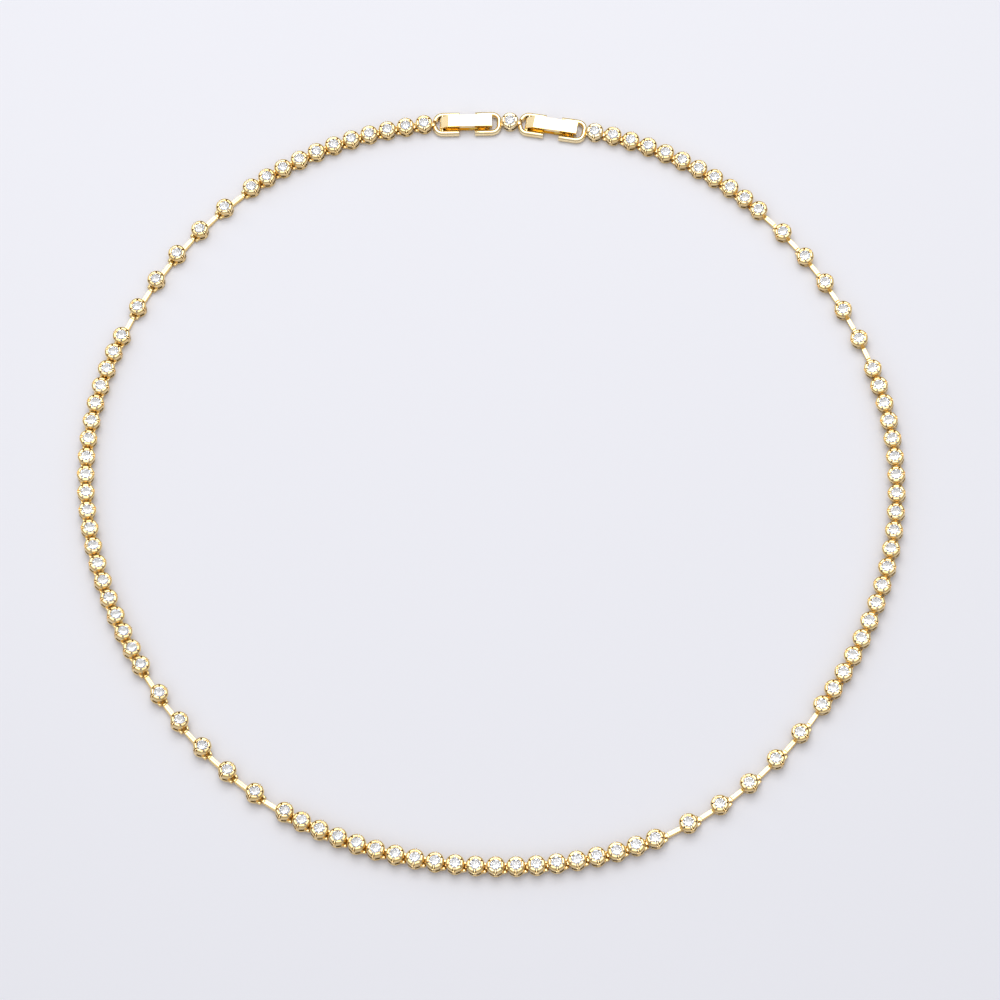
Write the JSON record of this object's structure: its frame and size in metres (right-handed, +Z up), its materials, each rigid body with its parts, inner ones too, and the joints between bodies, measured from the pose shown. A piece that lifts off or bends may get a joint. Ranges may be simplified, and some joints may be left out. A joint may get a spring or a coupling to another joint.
{
  "type": "cubic zirconia tennis necklace",
  "caption": "Closed necklace of small claw-set stones on hinged cups, with open stretches on short bars and two fold-over clasps at the back.",
  "frame": {"origin": "middle of the closed loop as it lies, on the surface it rests on", "axes": "+Z up from the surface, +Y towards the clasps at the back, X across the loop's longest extent"},
  "size_m": [0.1366, 0.1338, 0.0029],
  "materials": {
    "gold": "polished gold plating",
    "clasp_gold": "polished gold plating",
    "stone": "clear cubic zirconia, faceted"
  },
  "bodies": {
    "necklace": {"plain_links": "gold", "bar_links": "gold", "stones": "stone", "clasp_left_body": "clasp_gold", "clasp_left_loop": "clasp_gold", "clasp_right_body": "clasp_gold", "clasp_right_loop": "clasp_gold"},
    "clasp_left_cover": {"clasp_left_cover": "clasp_gold"},
    "clasp_right_cover": {"clasp_right_cover": "clasp_gold"}
  },
  "joints": [
    {"name": "left_cover_hinge", "type": "hinge", "parent": "necklace", "child": "clasp_left_cover", "pos_m": [-0.00851, 0.06509, 0.001], "axis": [0.0032, -1, 0], "range_deg": [0, 90]},
    {"name": "right_cover_hinge", "type": "hinge", "parent": "necklace", "child": "clasp_right_cover", "pos_m": [0.00624, 0.06486, 0.001], "axis": [-0.1756, -0.9845, 0], "range_deg": [0, 90]}
  ]
}
